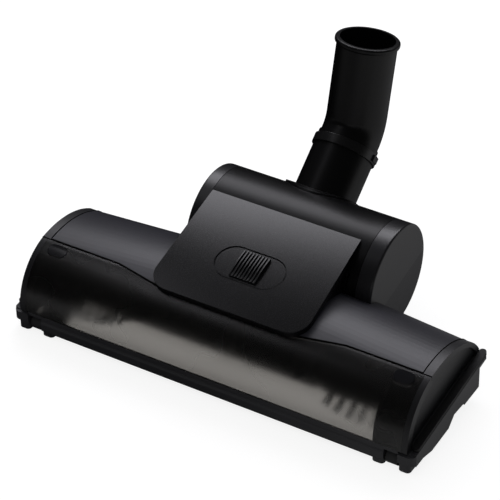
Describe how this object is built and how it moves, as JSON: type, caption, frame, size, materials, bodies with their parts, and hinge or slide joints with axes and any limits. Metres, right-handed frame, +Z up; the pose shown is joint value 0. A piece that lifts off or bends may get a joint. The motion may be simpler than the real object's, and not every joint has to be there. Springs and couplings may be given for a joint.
{
  "type": "vacuum turbo brush head",
  "caption": "Air-driven floor brush head with a smoked window over the brush roll, a sloping plate with an air slider, and a drum neck that tilts and ends in a swivelling elbow.",
  "frame": {"origin": "centre of the footprint, on the floor plane under the rollers", "axes": "+X across the head, +Y from the front lip towards the neck, +Z up"},
  "size_m": [0.278, 0.2149, 0.1496],
  "materials": {
    "housing": "fine moulded grain",
    "end_plastic": "smooth matte",
    "window_smoke": "clear smoked gloss",
    "cover_satin": "satin",
    "plate_matte": "fine matte grain",
    "slider_plastic": "satin",
    "drum_satin": "satin",
    "edge_rubber": "matte",
    "plug_plastic": "gloss",
    "roll_plastic": "matte",
    "bristle": "nylon bristles",
    "steel": "ground",
    "bush_plastic": "natural nylon",
    "turbine_plastic": "natural nylon",
    "belt_rubber": "matte",
    "neck_plastic": "fine matte grain",
    "collar_plastic": "satin",
    "wheel_rubber": "matte",
    "lint_fabric": "short red pile"
  },
  "bodies": {
    "head": {"base_frame": "housing", "sole_plate": "housing", "front_window": "window_smoke", "top_cover": "cover_satin", "end_cap_left": "end_plastic", "end_cap_right": "end_plastic", "edge_bumper_left": "edge_rubber", "edge_bumper_right": "edge_rubber", "screw_plug_left": "plug_plastic", "screw_plug_right": "plug_plastic", "centre_plate": "plate_matte", "drum_housing_left": "drum_satin", "drum_housing_right": "drum_satin", "brush_bearing_left": "bush_plastic", "brush_bearing_right": "bush_plastic", "turbine_bearing_left": "steel", "turbine_bearing_right": "steel", "drive_belt": "belt_rubber", "front_pin_left": "steel", "front_pin_right": "steel", "rear_pin_left": "steel", "rear_pin_right": "steel", "lint_strips": "lint_fabric"},
    "slider": {"air_slider": "slider_plastic"},
    "brush": {"brush_core": "roll_plastic", "bristle_tufts": "bristle", "brush_pin_left": "steel", "brush_pin_right": "steel"},
    "turbine": {"turbine_wheel": "turbine_plastic", "turbine_shaft": "steel", "turbine_pinion": "turbine_plastic"},
    "neck": {"swivel_neck": "neck_plastic", "collar_ring": "collar_plastic"},
    "elbow": {"elbow_tube": "neck_plastic"},
    "front_roller_left": {"front_roller_left": "wheel_rubber"},
    "front_roller_right": {"front_roller_right": "wheel_rubber"},
    "rear_wheel_left": {"rear_wheel_left": "wheel_rubber"},
    "rear_wheel_right": {"rear_wheel_right": "wheel_rubber"}
  },
  "joints": [
    {"name": "slider_slide", "type": "slide", "parent": "head", "child": "slider", "axis": [1, 0, 0], "range_m": [-0.007, 0.007]},
    {"name": "brush_spin", "type": "hinge", "parent": "head", "child": "brush", "pos_m": [0, -0.07359, 0.0246], "axis": [1, 0, 0], "continuous": true},
    {"name": "turbine_spin", "type": "hinge", "parent": "head", "child": "turbine", "pos_m": [0, 0.00261, 0.0419], "axis": [1, 0, 0], "continuous": true},
    {"name": "neck_tilt", "type": "hinge", "parent": "head", "child": "neck", "pos_m": [0, 0.00261, 0.0419], "axis": [1, 0, 0], "range_deg": [-30, 34]},
    {"name": "elbow_swivel", "type": "hinge", "parent": "neck", "child": "elbow", "pos_m": [0, 0.00653, 0.03672], "axis": [0, 0.7976, 0.6032], "continuous": true},
    {"name": "front_roller_left_spin", "type": "hinge", "parent": "head", "child": "front_roller_left", "pos_m": [-0.12365, -0.10049, 0.0055], "axis": [1, 0, 0], "continuous": true},
    {"name": "rear_wheel_left_spin", "type": "hinge", "parent": "head", "child": "rear_wheel_left", "pos_m": [-0.05875, -0.00009, 0.01], "axis": [1, 0, 0], "continuous": true},
    {"name": "front_roller_right_spin", "type": "hinge", "parent": "head", "child": "front_roller_right", "pos_m": [0.12365, -0.10049, 0.0055], "axis": [1, 0, 0], "continuous": true},
    {"name": "rear_wheel_right_spin", "type": "hinge", "parent": "head", "child": "rear_wheel_right", "pos_m": [0.06475, -0.00009, 0.01], "axis": [1, 0, 0], "continuous": true}
  ],
  "couplings": [
    {"joint": "turbine_spin", "follows": "brush_spin", "ratio": 2.1}
  ]
}
